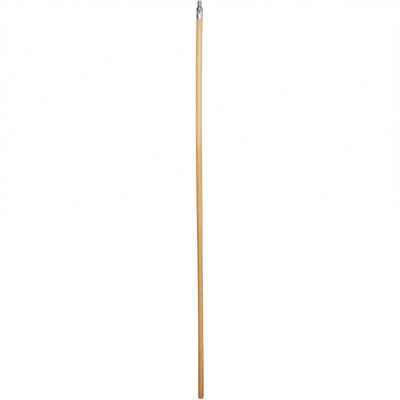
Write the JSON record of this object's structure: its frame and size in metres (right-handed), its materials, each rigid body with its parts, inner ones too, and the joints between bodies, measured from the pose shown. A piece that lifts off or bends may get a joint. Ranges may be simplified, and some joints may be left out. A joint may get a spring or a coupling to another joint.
{
  "type": "roller extension pole",
  "caption": "Long wooden pole with a metal screw tip that holds a paint roller frame and extends its reach.",
  "frame": {"origin": "on the axis of the screw thread, at the lower end of its crest", "axes": "+Z along the thread's axis, out of the threaded end; the pole hangs below and its grip end leans towards +X"},
  "size_m": [0.0497, 0.0238, 1.5238],
  "materials": {
    "lacquered_wood": "clear lacquer, satin",
    "plated_ferrule": "bright plated",
    "cast_tip": "plated, satin",
    "washer_steel": "plain",
    "rivet_steel": "bright plated"
  },
  "bodies": {
    "root": {"pole_shaft": "lacquered_wood", "ferrule": "plated_ferrule", "threaded_tip": "cast_tip", "staking_washer": "washer_steel", "cross_rivet": "rivet_steel"}
  },
  "joints": []
}
